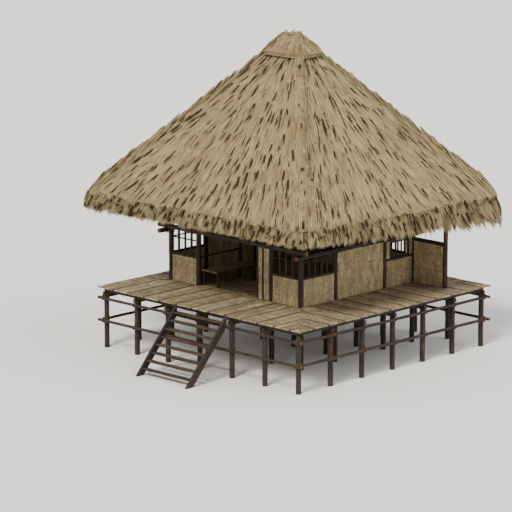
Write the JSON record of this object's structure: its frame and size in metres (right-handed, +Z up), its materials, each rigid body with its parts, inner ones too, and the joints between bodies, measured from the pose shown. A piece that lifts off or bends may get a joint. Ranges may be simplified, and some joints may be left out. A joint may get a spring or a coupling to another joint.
{
  "type": "stilt house on a square deck with a thatched hip roof",
  "caption": "Timber stilt house: one-room house with an open bay on a square post-borne deck, wide ladder stair, railed posts and a tall thatched hip roof.",
  "frame": {"origin": "on the ground under the middle of the deck, at the foot of the stump that stands there", "axes": "+Z up, +X along the stair side towards the deck's near corner, +Y away from the stair side"},
  "size_m": [10.6543, 12.12, 10.6368],
  "materials": {
    "posts": "weathered, bark off",
    "beams": "hewn, weathered",
    "poles": "round poles, weathered",
    "boards": "sawn boards, worn",
    "wall_panels": "split and woven panels",
    "thatch": "dry thatch"
  },
  "bodies": {
    "root": {"bay_jambs": "posts", "bench_back": "poles", "bench_legs": "beams", "bench_seat": "boards", "collar_purlins": "poles", "corner_bearers": "beams", "corner_posts": "posts", "deck_bearers": "beams", "deck_girts": "beams", "deck_left_side": "boards", "deck_posts": "posts", "deck_rear_side": "boards", "deck_right_side": "boards", "deck_stair_side": "boards", "eave_fringe": "thatch", "eave_poles": "poles", "floor_joists": "beams", "floor_ledgers": "beams", "floor_stumps": "posts", "head_logs": "poles", "head_rails": "poles", "hip_rafters": "poles", "house_floor": "boards", "lower_rails": "poles", "outer_post": "posts", "rafters": "poles", "ridge_cap": "thatch", "ridge_pole": "poles", "rim_beams": "beams", "screen_beam": "beams", "side_screen": "wall_panels", "sill_rails": "poles", "small_window_panels": "wall_panels", "stair_stringers": "beams", "stair_treads": "boards", "thatch_laths": "poles", "thatch_left_side": "thatch", "thatch_rear_side": "thatch", "thatch_right_side": "thatch", "thatch_stair_side": "thatch", "upper_rails": "poles", "wall_left_side": "wall_panels", "wall_plates": "poles", "wall_posts": "posts", "wall_rear_side": "wall_panels", "wall_right_side": "wall_panels", "wall_stair_side": "wall_panels"}
  },
  "joints": []
}
